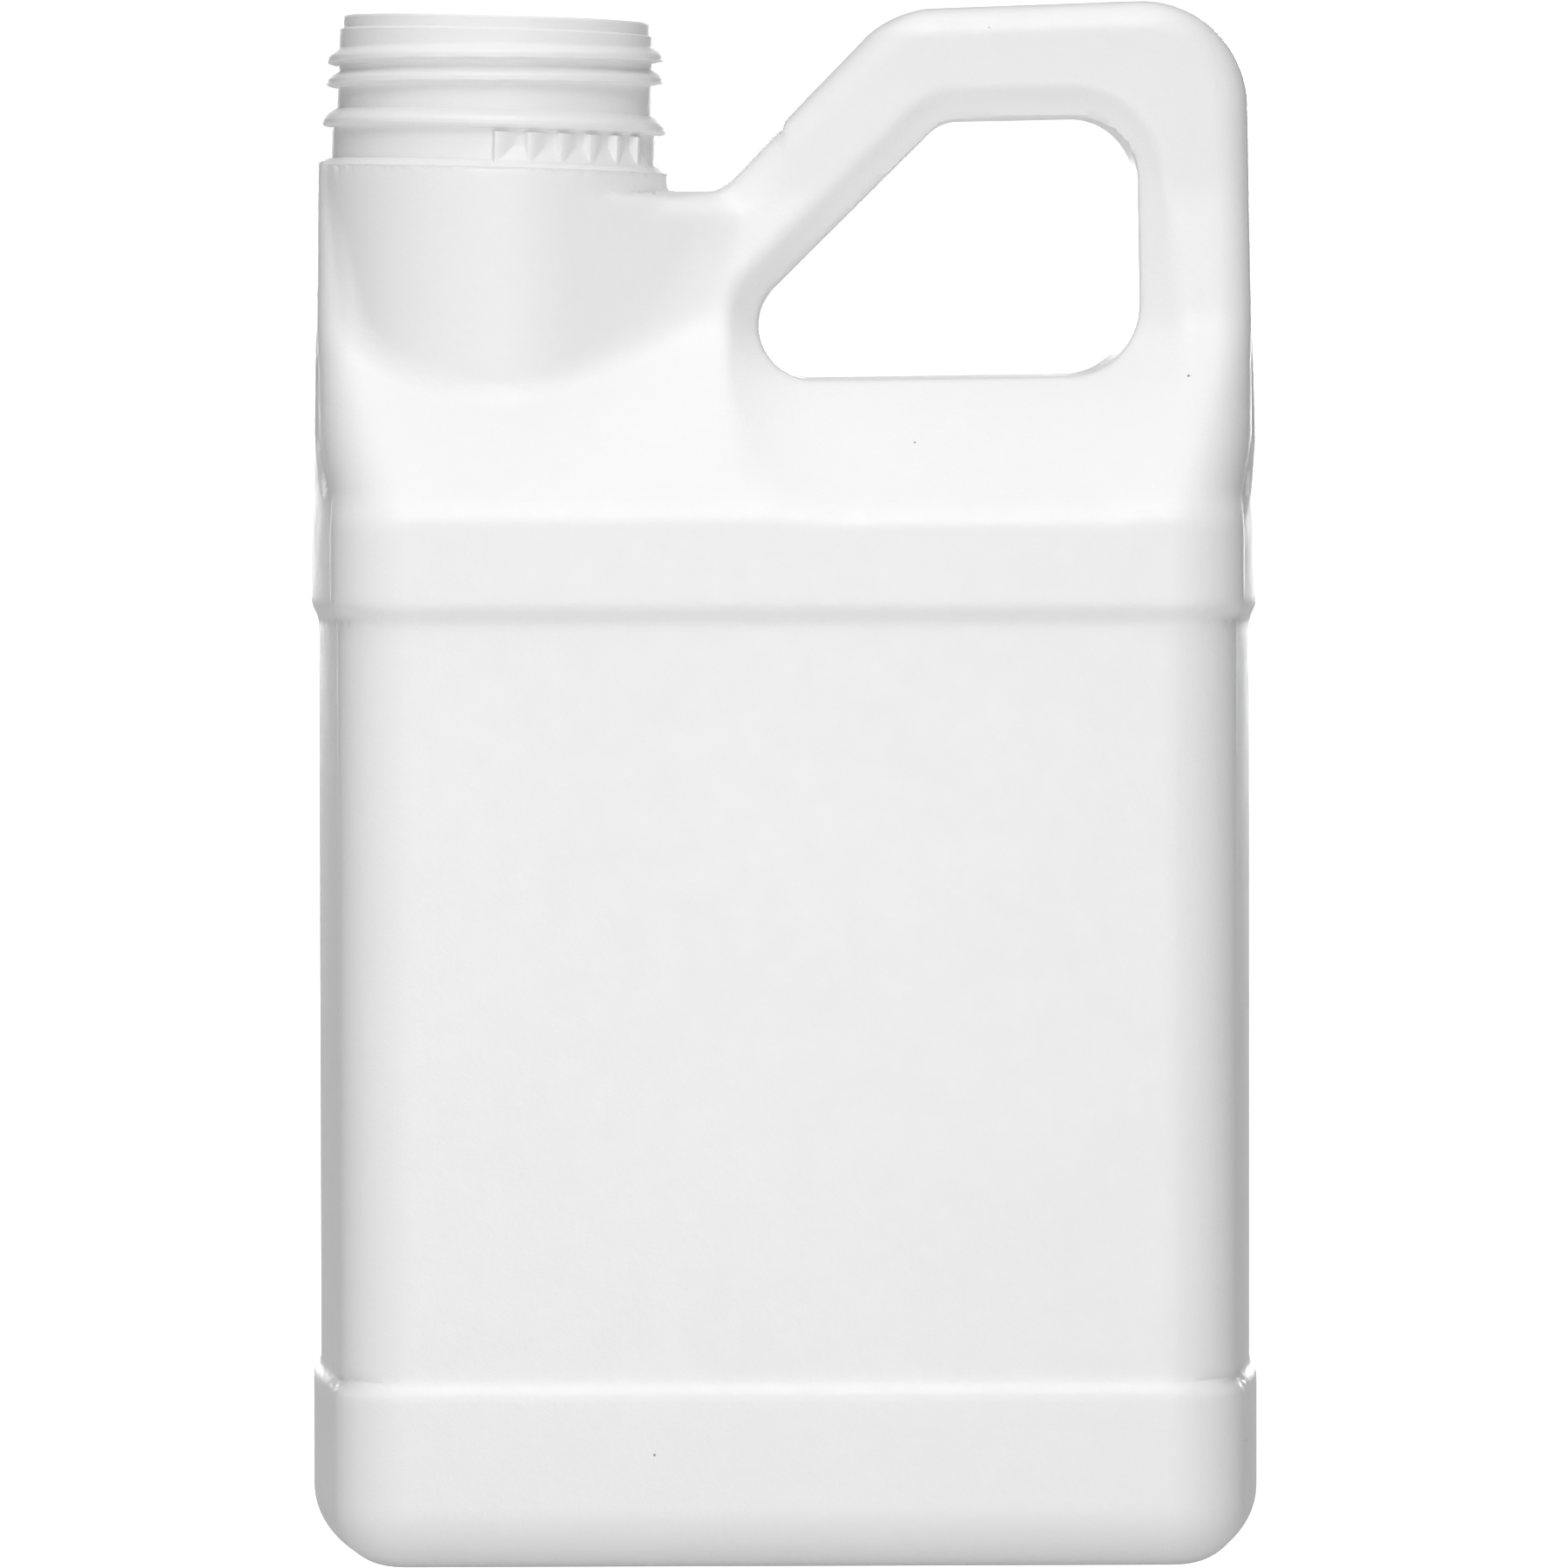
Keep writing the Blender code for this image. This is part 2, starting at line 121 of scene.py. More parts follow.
def soft_min(a: Array | float, b: Array | float, blend: float) -> Array:
    """Take the lower of two values, smoothly.

    Args:
        a: The first value.
        b: The second value.
        blend: How close they come before the change from one to the other is smoothed.

    Returns:
        The lower value, a little less where both are close.
    """
    share = np.maximum(blend - np.abs(a - b), 0.0) / blend
    return np.minimum(a, b) - share * share * blend / 4.0


def soft_max(a: Array | float, b: Array | float, blend: float) -> Array:
    """Take the higher of two values, smoothly.

    Args:
        a: The first value.
        b: The second value.
        blend: How close they come before the change from one to the other is smoothed.

    Returns:
        The higher value, a little more where both are close.
    """
    return -soft_min(-a, -b, blend)


def rounded_polygon(x: Array, z: Array, corners: Sequence[Corner]) -> Array:
    """Measure the distance to a convex outline in the front view.

    Args:
        x: Places across the front.
        z: Heights.
        corners: The outline's corners as (x, z, radius), anticlockwise.

    Returns:
        The distance, below zero inside.
    """
    count = len(corners)
    points = [np.array(corner[:2]) for corner in corners]
    normals = []
    for i in range(count):
        along = points[(i + 1) % count] - points[i]
        normals.append(np.array((along[1], -along[0])) / np.linalg.norm(along))
    planes = [(x - p[0]) * n[0] + (z - p[1]) * n[1] for p, n in zip(points, normals)]
    distance = planes[0]
    for plane in planes[1:]:
        distance = np.maximum(distance, plane)
    for i in range(count):
        before, after, radius = normals[i - 1], normals[i], corners[i][2]
        centre = points[i] - radius * (before + after) / (1.0 + before @ after)
        dx, dz = x - centre[0], z - centre[1]
        in_corner = (before[0] * dz - before[1] * dx > 0) & (dx * after[1] - dz * after[0] > 0)
        distance = np.where(in_corner, np.hypot(dx, dz) - radius, distance)
    return distance


@dataclass
class Shoulder:
    """Half depth from front to back at each height: upright walls, a roof, and the handle's crest."""

    half_depth: float = 56.0 * MM
    start: float = 195.0 * MM
    slope: float = 1.045
    start_blend: float = 3.5 * MM
    crest_height: float = 232.0 * MM
    crest_half_depth: float = 20.5 * MM
    crest_slope: float = 0.27
    crest_blend: float = 4.0 * MM
    handle_half_depth: float = 14.0 * MM

    def depth(self, z: Array, sink: Array | float = 0.0) -> Array:
        """Find the half depth without the label panel.

        Args:
            z: Heights.
            sink: Depth to take off the roof and all above it.

        Returns:
            The half depth at each height.
        """
        roof = self.half_depth - self.slope * (z - self.start)
        crest = self.crest_half_depth - self.crest_slope * (z - self.crest_height)
        upper = soft_max(roof, crest, self.crest_blend)
        upper = soft_max(upper, self.handle_half_depth, self.crest_blend / 4.0)
        return soft_min(self.half_depth, upper - sink, self.start_blend)


@dataclass
class LabelPanel:
    """The panel set back all round between two bands, with a sloping step at each end."""

    bottom: float = 32.9 * MM
    top: float = 177.8 * MM
    depth: float = 1.8 * MM
    side_depth: float = 1.4 * MM
    bottom_rise: float = 2.3 * MM
    top_rise: float = 3.0 * MM
    blend: float = 0.33

    def share(self, z: Array) -> Array:
        """Find how far the wall is set back.

        Args:
            z: Heights.

        Returns:
            The set-back as a share of its full depth.
        """
        below = -(z - self.bottom) / self.bottom_rise
        above = (z - self.top) / self.top_rise
        return -np.maximum(-1.0, soft_min(0.0, np.maximum(below, above), self.blend))


@dataclass
class Grip:
    """The opening through the handle, and the bevel from it to a rim, wide below for fingers."""

    opening: tuple[Corner, ...] = (
        (-19.0 * MM, 219.6 * MM, 9.9 * MM),
        (66.2 * MM, 220.8 * MM, 13.5 * MM),
        (66.2 * MM, 268.7 * MM, 11.5 * MM),
        (29.8 * MM, 268.0 * MM, 8.0 * MM),
    )
    rim: tuple[Corner, ...] = (
        (8.0 * MM, 188.0 * MM, 4.0 * MM),
        (64.0 * MM, 188.0 * MM, 4.0 * MM),
        (75.2 * MM, 222.0 * MM, 8.0 * MM),
        (69.4 * MM, 274.8 * MM, 17.5 * MM),
        (27.3 * MM, 274.1 * MM, 14.0 * MM),
        (-10.5 * MM, 236.5 * MM, 10.0 * MM),
        (-11.0 * MM, 220.0 * MM, 10.0 * MM),
        (-8.0 * MM, 203.5 * MM, 8.0 * MM),
    )
    draft: float = 0.02
    edge_radius: float = 0.7 * MM
    left_depth: float = 6.4 * MM
    right_depth: float = 4.6 * MM
    top_depth: float = 2.7 * MM
    depth_fade: tuple[float, float] = (-5.0 * MM, 25.0 * MM)
    top_fade: tuple[float, float] = (240.0 * MM, 264.0 * MM)
    top_curve: float = 0.5
    blend: float = 0.15

    def distance(self, x: Array, y: Array, z: Array) -> Array:
        """Distance to the opening, whose walls draw in towards the plane where the mould closes."""
        return rounded_polygon(x, z, self.opening) - self.draft * np.abs(y)

    def sink(self, x: Array, z: Array) -> Array:
        """Find how far the bevel sinks the surface.

        Args:
            x: Places across the front.
            z: Heights.

        Returns:
            The depth taken off the wall, zero outside the rim.
        """
        to_opening = rounded_polygon(x, z, self.opening)
        to_rim = -rounded_polygon(x, z, self.rim)
        share = np.clip(to_rim / np.maximum(to_opening + to_rim, 1.0 * MM), -1.0, 1.3)
        share = soft_max(0.0, share, self.blend)
        up = fade(z, *self.top_fade)
        depth = self.left_depth + (self.right_depth - self.left_depth) * fade(x, *self.depth_fade)
        depth = depth + (self.top_depth - depth) * up
        return depth * (1.0 - np.maximum(1.0 - share, 0.0) ** (1.0 + self.top_curve * up))


@dataclass
class Outline:
    """The front view at the plane where the mould halves meet."""

    half_width: float = 89.1 * MM
    draw_in: float = 190.0 * MM
    top_left: tuple[float, float] = (-87.3 * MM, 285.0 * MM)
    top_right: tuple[float, float] = (87.3 * MM, 291.2 * MM)
    top_right_radius: float = 20.0 * MM
    drop: float = 40.0 * MM
    web_height: float = 254.0 * MM
    web_corner: float = -13.0 * MM
    web_lift: float = 12.0 * MM
    web_fade: tuple[float, float] = (-78.0 * MM, -60.0 * MM)
    bar_top: tuple[float, float] = (20.0 * MM, 288.0 * MM)
    web_radius: float = 3.0 * MM
    bar_radius: float = 5.0 * MM

    def distance(self, x: Array, z: Array) -> Array:
        """Measure the distance to the outline.

        Args:
            x: Places across the front.
            z: Heights.

        Returns:
            The distance, below zero inside.
        """
        sharp = 1.0 * MM
        soft = 100.0 * MM
        whole = rounded_polygon(x, z, (
            (-self.half_width, -self.drop, sharp),
            (self.half_width, -self.drop, sharp),
            (self.half_width, self.draw_in, soft),
            (*self.top_right, self.top_right_radius),
            (*self.top_left, sharp),
            (-self.half_width, self.draw_in, soft),
        ))
        rise = self.bar_top[1] - self.web_height
        run = self.bar_top[0] - self.web_corner
        far = 120.0 * MM
        lift = self.web_lift * (1.0 - fade(x, *self.web_fade))
        notch = rounded_polygon(x, z - lift, (
            (self.web_corner, self.web_height, self.web_radius),
            (self.web_corner + far * run / rise, self.web_height + far, sharp),
            (-3.0 * far, self.web_height + far, sharp),
            (-3.0 * far, self.web_height, sharp),
        ))
        return round_max(whole, -notch, self.bar_radius)


@dataclass
class Turret:
    """The round turret under the neck, drawn out to a nose towards the handle, and its collar."""

    centre: float = -54.6 * MM
    radius: float = 33.3 * MM
    nose: float = -23.5 * MM
    nose_radius: float = 19.9 * MM
    top: float = 254.0 * MM
    top_radius: float = 5.5 * MM
    ledge_share: float = 1.4
    fillet: float = 3.0 * MM
    fillet_fade: tuple[float, float] = (-87.0 * MM, -81.0 * MM)
    foot: float = 180.0 * MM
    collar_top: float = 259.1 * MM
    collar_edge: float = 0.5 * MM
    web_rise: float = 0.7 * MM
    lean: float = math.radians(1.6)

    def cap(self, x: Array, z: Array) -> Array:
        """Height above the leaning plane on which the neck finish starts."""
        return z + math.tan(self.lean) * (x - self.centre) - self.collar_top

    def distance(self, x: Array, y: Array, z: Array) -> Array:
        """Measure the distance to the turret.

        Args:
            x: Places across the front.
            y: Depths.
            z: Heights.

        Returns:
            The distance, below zero inside.
        """
        across = x - self.centre
        span = self.nose - self.centre
        taper = (self.radius - self.nose_radius) / span
        level = math.sqrt(1.0 - taper * taper)
        out = np.hypot(across, y)
        along = level * across - taper * np.abs(y)
        flank = level * np.abs(y) + taper * across
        wall = np.where(along < 0.0, out, flank) - self.radius
        nose = np.hypot(across - span, y) - self.nose_radius
        wall = np.where(along > level * span, nose, wall)
        gap = np.clip(self.ledge_share * (out - self.radius), 0.4 * MM, self.top_radius)
        ledge = round_max(wall, z - self.top, gap)
        collar = round_max(out - self.radius, self.cap(x, z), self.collar_edge)
        return np.maximum(np.minimum(ledge, collar), self.foot - z)


@dataclass
class Base:
    """The rounding round the base, and the shallow recess that leaves a ring to stand on."""

    radius: float = 11.5 * MM
    recess_half_width: float = 60.0 * MM
    recess_half_depth: float = 37.0 * MM
    recess_corner: float = 14.0 * MM
    recess_rise: float = 2.5 * MM
    recess_edge: float = 1.5 * MM

    def recess(self, x: Array, y: Array, z: Array) -> Array:
        """Measure the distance to the recess.

        Args:
            x: Places across the front.
            y: Depths.
            z: Heights.

        Returns:
            The distance, below zero in the recess.
        """
        out_x = np.abs(x) - self.recess_half_width + self.recess_corner
        out_y = np.abs(y) - self.recess_half_depth + self.recess_corner
        plan = np.hypot(np.maximum(out_x, 0.0), np.maximum(out_y, 0.0))
        plan = plan + np.minimum(np.maximum(out_x, out_y), 0.0) - self.recess_corner
        return round_max((plan + z) / math.sqrt(2.0), z - self.recess_rise, 1.0 * MM)


@dataclass
class BlownForm:
    """The blown part of the jug: body, shoulder, handle and turret as one field."""

    outline: Outline = field(default_factory=Outline)
    shoulder: Shoulder = field(default_factory=Shoulder)
    panel: LabelPanel = field(default_factory=LabelPanel)
    grip: Grip = field(default_factory=Grip)
    turret: Turret = field(default_factory=Turret)
    base: Base = field(default_factory=Base)
    body_edge: float = 14.0 * MM
    handle_edge: float = 6.5 * MM
    edge_change: tuple[float, float] = (200.0 * MM, 232.0 * MM)
    draft: float = 0.11
    handle_draft: float = 0.06
    draft_fade: tuple[float, float] = (196.0 * MM, 211.0 * MM)
    wall: float = 1.6 * MM

    def wall_depth(self, z: Array) -> Array:
        """Half depth at a height, label panel included."""
        return self.shoulder.depth(z) - self.panel.depth * self.panel.share(z)

    def half_depth(self, x: Array, z: Array) -> Array:
        """Half depth at a point of the front view."""
        return self.shoulder.depth(z, self.grip.sink(x, z)) - self.panel.depth * self.panel.share(z)

    def body(self, x: Array, y: Array, z: Array) -> Array:
        """Measure the distance to body and handle, without opening and recess.

        Args:
            x: Places across the front.
            y: Depths.
            z: Heights.

        Returns:
            The distance, below zero inside.
        """
        nudge = 0.2 * MM
        depth = self.half_depth(x, z)
        slope_x = (self.half_depth(x + nudge, z) - self.half_depth(x - nudge, z)) / (2.0 * nudge)
        slope_z = (self.half_depth(x, z + nudge) - self.half_depth(x, z - nudge)) / (2.0 * nudge)
        faces = (np.abs(y) - depth) / np.sqrt(1.0 + slope_x**2 + slope_z**2)
        edge = self.body_edge + (self.handle_edge - self.body_edge) * fade(z, *self.edge_change)
        draft = self.draft + (self.handle_draft - self.draft) * fade(z, *self.draft_fade)
        outward = np.where(x < 0.0, -1.0, 1.0)
        set_in = self.panel.side_depth * self.panel.share(z)
        reach = np.maximum(self.wall_depth(z) - edge, 1.0 * MM)
        core = self.outline.distance(x + outward * (set_in + draft * reach), z)
        bow = draft * np.minimum(y * y / reach, reach)
        sides = self.outline.distance(x + outward * (set_in + bow), z)
        walls = np.minimum(round_max(faces, core, edge), np.maximum(sides, faces + edge))
        beside_neck = np.minimum(self.turret.cap(x, z) - self.turret.web_rise, self.turret.centre - x)
        walls = round_max(walls, beside_neck, self.turret.collar_edge)
        return round_max(walls, -z, self.base.radius)

    def outside(self, x: Array, y: Array, z: Array) -> Array:
        """Measure the distance to the outer face.

        Args:
            x: Places across the front.
            y: Depths.
            z: Heights.

        Returns:
            The distance, below zero inside.
        """
        fillet = self.turret.fillet * fade(x, *self.turret.fillet_fade) + 1e-6
        whole = round_min(self.body(x, y, z), self.turret.distance(x, y, z), fillet)
        whole = round_max(whole, -self.grip.distance(x, y, z), self.grip.edge_radius)
        return round_max(whole, -self.base.recess(x, y, z), self.base.recess_edge)

    def inside(self, x: Array, y: Array, z: Array) -> Array:
        """Measure the distance to the hollow.

        Args:
            x: Places across the front.
            y: Depths.
            z: Heights.

        Returns:
            The distance, below zero in the hollow.
        """
        return self.outside(x, y, z) + self.wall


@dataclass
class FaceNet:
    """Draws a closed net of four-sided faces over the zero level of a field."""

    low: tuple[float, float, float]
    high: tuple[float, float, float]
    step: float

    def crossings(self, value: Array) -> tuple[Array, Array, Array]:
        """Find the grid cells that the zero level passes through.

        Args:
            value: The field on the grid.

        Returns:
            A mark for each such cell, the sum of its crossings' places, and their count.
        """
        cells = tuple(n - 1 for n in value.shape)
        total = np.zeros((*cells, 3))
        count = np.zeros(cells)
        for start in product((0, 1), repeat=3):
            for axis in (a for a in range(3) if not start[a]):
                end = [start[k] + (k == axis) for k in range(3)]
                a = value[tuple(slice(o, o + n) for o, n in zip(start, cells))]
                b = value[tuple(slice(o, o + n) for o, n in zip(end, cells))]
                crossed = (a < 0) != (b < 0)
                count += crossed
                for k in range(3):
                    total[..., k] += crossed * float(start[k])
                total[..., axis] += np.where(crossed, a / np.where(crossed, a - b, 1.0), 0.0)
        return count > 0, total, count

    def faces(self, value: Array, index: Array) -> Array:
        """Put one outward face round each grid edge that crosses the zero level.

        Args:
            value: The field on the grid.
            index: The number of each cell's point.

        Returns:
            The faces, as rows of four point numbers.
        """
        found = []
        for axis in range(3):
            u, v = (axis + 1) % 3, (axis + 2) % 3
            low = np.take(value, range(value.shape[axis] - 1), axis) < 0
            high = np.take(value, range(1, value.shape[axis]), axis) < 0
            at = np.argwhere(low != high)
            step_u, step_v = np.eye(3, dtype=int)[u], np.eye(3, dtype=int)[v]
            around = [at - step_u - step_v, at - step_v, at, at - step_u]
            quads = np.stack([index[tuple(cell.T)] for cell in around], axis=1)
            found.append(np.where(low[tuple(at.T)][:, None], quads, quads[:, ::-1]))
        return np.concatenate(found)

    def seat(self, surface: Field, points: Array) -> Array:
        """Move points onto a field's zero level.

        Args:
            surface: The field.
            points: The points, one a row.

        Returns:
            The moved points.
        """
        nudge = 0.1 * MM
        for _ in range(3):
            value = surface(*points.T)
            slope = np.stack([
                (surface(*(points + step).T) - surface(*(points - step).T)) / (2.0 * nudge)
                for step in nudge * np.eye(3)
            ], axis=1)
            move = value / np.maximum((slope**2).sum(axis=1), 0.25)
            reach = 0.5 * self.step
            points = points - slope * np.clip(move, -reach, reach)[:, None]
        return points

    def draw(self, name: str, surface: Field) -> bpy.types.Object:
        """Make the net as an object.

        Args:
            name: The object's name.
            surface: The field.

        Returns:
            The new object.
        """
        axes = [np.arange(a, b + self.step, self.step) for a, b in zip(self.low, self.high)]
        value = surface(*np.meshgrid(*axes, indexing="ij", sparse=True))
        active, total, count = self.crossings(value)
        index = np.full(active.shape, -1)
        index[active] = np.arange(active.sum())
        points = np.argwhere(active) + total[active] / count[active][:, None]
        points = self.seat(surface, np.array(self.low) + points * self.step)
        return mesh_object(name, points, self.faces(value, index))


def mesh_object(name: str, points: Array, faces: Array | list) -> bpy.types.Object:
    """Add a mesh object to the scene.

    Args:
        name: The object's name.
        points: The points, one a row.
        faces: The faces, as rows of point numbers.

    Returns:
        The new object.
    """
    mesh = bpy.data.meshes.new(name)
    mesh.from_pydata(np.asarray(points).tolist(), [], [list(face) for face in faces])
    mesh.update()
    made = bpy.data.objects.new(name, mesh)
    bpy.context.scene.collection.objects.link(made)
    return made


def turned(name: str, rings: Array) -> bpy.types.Object:
    """Skin rings of equal count into a closed solid.

    Args:
        name: The object's name.
        rings: The rings from one end to the other, as (ring, point, coordinate).

    Returns:
        The new object, with its faces pointing out where the rings climb anticlockwise.
    """
    layers, count = rings.shape[:2]
    i = np.arange(count)
    j = (i + 1) % count
    start = count * np.arange(layers - 1)[:, None]
    quads = np.stack([start + i, start + j, start + count + j, start + count + i], axis=2)
    caps = [list(i[::-1]), list(count * (layers - 1) + i)]
    return mesh_object(name, rings.reshape(-1, 3), quads.reshape(-1, 4).tolist() + caps)


def cut(target: bpy.types.Object, other: bpy.types.Object, kind: Cut) -> None:
    """Change one closed mesh by another, which is then removed.

    Args:
        target: The object that is changed.
        other: The object that changes it.
        kind: Whether the other is joined on or hollowed out.
    """
    modifier = target.modifiers.new(kind.name, "BOOLEAN")
    modifier.operation = kind.value
    modifier.solver = "MANIFOLD"
    modifier.object = other
    graph = bpy.context.evaluated_depsgraph_get()
    target_mesh = bpy.data.meshes.new_from_object(target.evaluated_get(graph))
    target.modifiers.clear()
    target.data = target_mesh
    bpy.data.objects.remove(other)


@dataclass
class NeckFinish:
    """The turned neck: collar, skirt wall with ratchet teeth, bead, thread and thin lip.

    Heights are from the collar's top and radii from the neck's axis, which leans towards the
    handle. Angles are anticlockwise from above, from the handle's side.
    """

    centre: float = -54.6 * MM
    height: float = 259.6 * MM
    lean: float = math.radians(1.6)
    lean_fade: tuple[float, float] = (-10.0 * MM, -3.0 * MM)
    collar: float = 33.3 * MM
    collar_foot: float = -13.0 * MM
    chamfer_foot: float = -0.5 * MM
    chamfer_top: float = 0.7 * MM
    skirt: float = 30.7 * MM
    root: float = 29.75 * MM
    lip: float = 29.05 * MM
    bore: float = 26.8 * MM
    rise: float = 27.7 * MM
    lip_ledge: float = 25.4 * MM
    bead: float = 32.45 * MM
    bead_bottom: float = 6.6 * MM
    bead_top: float = 10.3 * MM
    crest: float = 31.75 * MM
    pitch: float = 4.2 * MM
    thread_start: float = math.radians(150)
    thread_turn: float = math.radians(600)
    thread_height: float = 14.7 * MM
    thread_fade: float = math.radians(25)
    thread_reach: tuple[float, float] = (1.1 * MM, 2.2 * MM)
    thread_flanks: tuple[float, float] = (0.6 * MM, 1.9 * MM)
    teeth: int = 6
    tooth_pitch: float = math.radians(11.2)
    teeth_start: float = math.radians(-90)
    tooth_rise: float = 1.5 * MM
    tooth_top: float = 6.4 * MM
    tooth_foot: float = 0.5
    tooth_face: float = 0.08
    tooth_back: tuple[float, float] = (0.12, 0.8)
    teeth_fade: float = math.radians(3)
    spokes: int = 720
    layer: float = 0.2 * MM

    def profile(self) -> list[tuple[float, float]]:
        """List the plain turned outline, from inside the turret up to the rim.

        Returns:
            Corners as (radius, height).
        """
        return [
            (self.collar - 1.0 * MM, self.collar_foot),
            (self.collar - 0.3 * MM, self.chamfer_foot - 0.6 * MM),
            (self.collar - 0.05 * MM, self.chamfer_foot),
            (self.skirt + 0.8 * MM, self.chamfer_top),
            (self.skirt, self.chamfer_top + 0.2 * MM),
            (self.skirt, self.bead_bottom),
            (self.bead - 0.4 * MM, self.bead_bottom + 0.3 * MM),
            (self.bead, self.bead_bottom + 0.8 * MM),
            (self.bead, self.bead_bottom + 1.6 * MM),
            (self.bead - 0.5 * MM, self.bead_bottom + 2.3 * MM),
            (self.root, self.bead_top),
            (self.root, self.lip_ledge - 0.4 * MM),
            (self.lip, self.lip_ledge),
            (self.lip, self.rise - 0.4 * MM),
            (self.lip - 0.4 * MM, self.rise),
        ]

    def thread(self, angle: Array, height: Array) -> Array:
        """Work out how far the thread stands out of its root.

        Args:
            angle: Angles round the neck, from 0 to a full turn.
            height: Heights.

        Returns:
            The thread's rise, zero away from it.
        """
        rise = np.zeros(np.broadcast(angle, height).shape)
        below, above = self.thread_reach
        flank_below, flank_above = self.thread_flanks
        for turn in range(3):
            along = (angle - self.thread_start) % math.tau + math.tau * turn
            centre = self.thread_height + self.pitch * along / math.tau
            up = height - centre
            flank = np.minimum((up + below) / flank_below, (above - up) / flank_above)
            ends = np.minimum(along, self.thread_turn - along) / self.thread_fade
            shape = fade(flank, 0.0, 1.0) * fade(ends, 0.0, 1.0)
            rise = np.maximum(rise, (self.crest - self.root) * shape)
        return rise

    def ratchet(self, angle: Array, height: Array) -> Array:
        """Work out how far the ratchet teeth stand out of the skirt wall.

        Args:
            angle: Angles round the neck.
            height: Heights.

        Returns:
            The teeth's rise, zero away from them.
        """
        rise = np.zeros(np.broadcast(angle, height).shape)
        for start in (self.teeth_start, self.teeth_start + math.pi):
            along = (angle - start) % math.tau
            end = self.teeth * self.tooth_pitch
            share = (along % self.tooth_pitch) / self.tooth_pitch
            back = 1.0 - fade(share, *self.tooth_back)
            wedge = self.tooth_rise * np.minimum(share / self.tooth_face, back)
            wedge = wedge * fade(self.tooth_top - height, 0.0, 0.5 * MM)
            above = height - self.chamfer_top
            foot = np.clip(self.tooth_rise - self.tooth_foot * above, 0.0, self.tooth_rise)
            foot = foot * np.minimum(share / self.tooth_face + (along > self.tooth_pitch), 1.0)
            shape = np.maximum(wedge, foot) * fade(end - along, 0.0, self.teeth_fade)
            rise = np.maximum(rise, (along < end) * shape)
        return rise

    def stand(self, radius: Array, angle: Array, height: Array) -> Array:
        """Place points of the neck in the jug's frame.

        Args:
            radius: Radii.
            angle: Angles.
            height: Heights.

        Returns:
            The places, with the lean worked in above the turret.
        """
        across = radius * np.cos(angle)
        depth = radius * np.sin(angle)
        slope = math.tan(self.lean)
        x = self.centre + across + slope * np.maximum(height, 0.0)
        z = self.height + height - slope * across * fade(height, *self.lean_fade)
        return np.stack([x, depth, z], axis=-1)

    def build(self) -> bpy.types.Object:
        """Make the neck as a closed solid, its bore still full.

        Returns:
            The new object.
        """
        corners = self.profile()
        radii = []
        heights = []
        for (r0, h0), (r1, h1) in zip(corners, corners[1:]):
            parts = max(1, round(math.hypot(r1 - r0, h1 - h0) / self.layer))
            radii += list(np.linspace(r0, r1, parts, endpoint=False))
            heights += list(np.linspace(h0, h1, parts, endpoint=False))
        radii = np.array(radii + [corners[-1][0]])[:, None]
        heights = np.array(heights + [corners[-1][1]])[:, None]
        angle = (math.tau * np.arange(self.spokes) / self.spokes)[None, :]
        toothed = (heights > self.chamfer_foot) & (heights < self.bead_bottom)
        radius = np.maximum(radii, np.where(toothed, self.skirt + self.ratchet(angle, heights), 0.0))
        radius = np.where(
            (heights > self.bead_top) & (heights < self.lip_ledge - 0.5 * MM),
            radius + self.thread(angle, heights),
            radius,
        )
        return turned("neck", self.stand(radius, angle, np.broadcast_to(heights, radius.shape)))

    def build_bore(self) -> bpy.types.Object:
        """Make the space inside the neck, flared a little at the rim.

        Returns:
            The new object.
        """
        rounding = 0.5 * MM
        corners = [(self.bore, -20.0 * MM), (self.bore, 0.0), (self.bore, self.rise - rounding)]
        for step in range(1, 5):
            turn = 0.5 * math.pi * step / 4
            out = rounding * (1.0 - math.cos(turn))
            corners.append((self.bore + out, self.rise - rounding + rounding * math.sin(turn)))
        corners.append((corners[-1][0], self.rise + 2.0 * MM))
        table = np.array(corners)[:, :, None]
        angle = (math.tau * (np.arange(self.spokes) + 0.5) / self.spokes)[None, :]
        radius = np.broadcast_to(table[:, 0], (len(corners), self.spokes))
        height = np.broadcast_to(table[:, 1], (len(corners), self.spokes))
        return turned("bore", self.stand(radius, np.broadcast_to(angle, radius.shape), height))


def linear(colour: str) -> tuple[float, float, float, float]:
    """Turn an sRGB colour to linear light.

    Args:
        colour: The colour as hex digits, such as F4F4F2.

    Returns:
        Red, green, blue and alpha.
    """
    parts = [int(colour[i : i + 2], 16) / 255.0 for i in (0, 2, 4)]
    light = [c / 12.92 if c <= 0.04045 else ((c + 0.055) / 1.055) ** 2.4 for c in parts]
    return (*light, 1.0)


def add_node(
    tree: bpy.types.NodeTree,
    kind: str,
    settings: dict[str, object] | None = None,
    inputs: dict[str | int, object] | None = None,
) -> bpy.types.Node:
    """Add a node with its settings and links.

    Args:
        tree: The node tree.
        kind: The node's Blender type.
        settings: Attributes to set on it.
        inputs: Values or output sockets, by input name or number.

    Returns:
        The new node.
    """
    node = tree.nodes.new(kind)
    for name, value in (settings or {}).items():
        setattr(node, name, value)
    for name, value in (inputs or {}).items():
        if isinstance(value, bpy.types.NodeSocket):
            tree.links.new(value, node.inputs[name])
        else:
            node.inputs[name].default_value = value
    return node


@dataclass(frozen=True)
class Marks:
    """One size of unevenness that moulding leaves in a surface."""

    width_mm: float
    detail: float
    strength: float
    height_mm: float
    stretch: float = 1.0


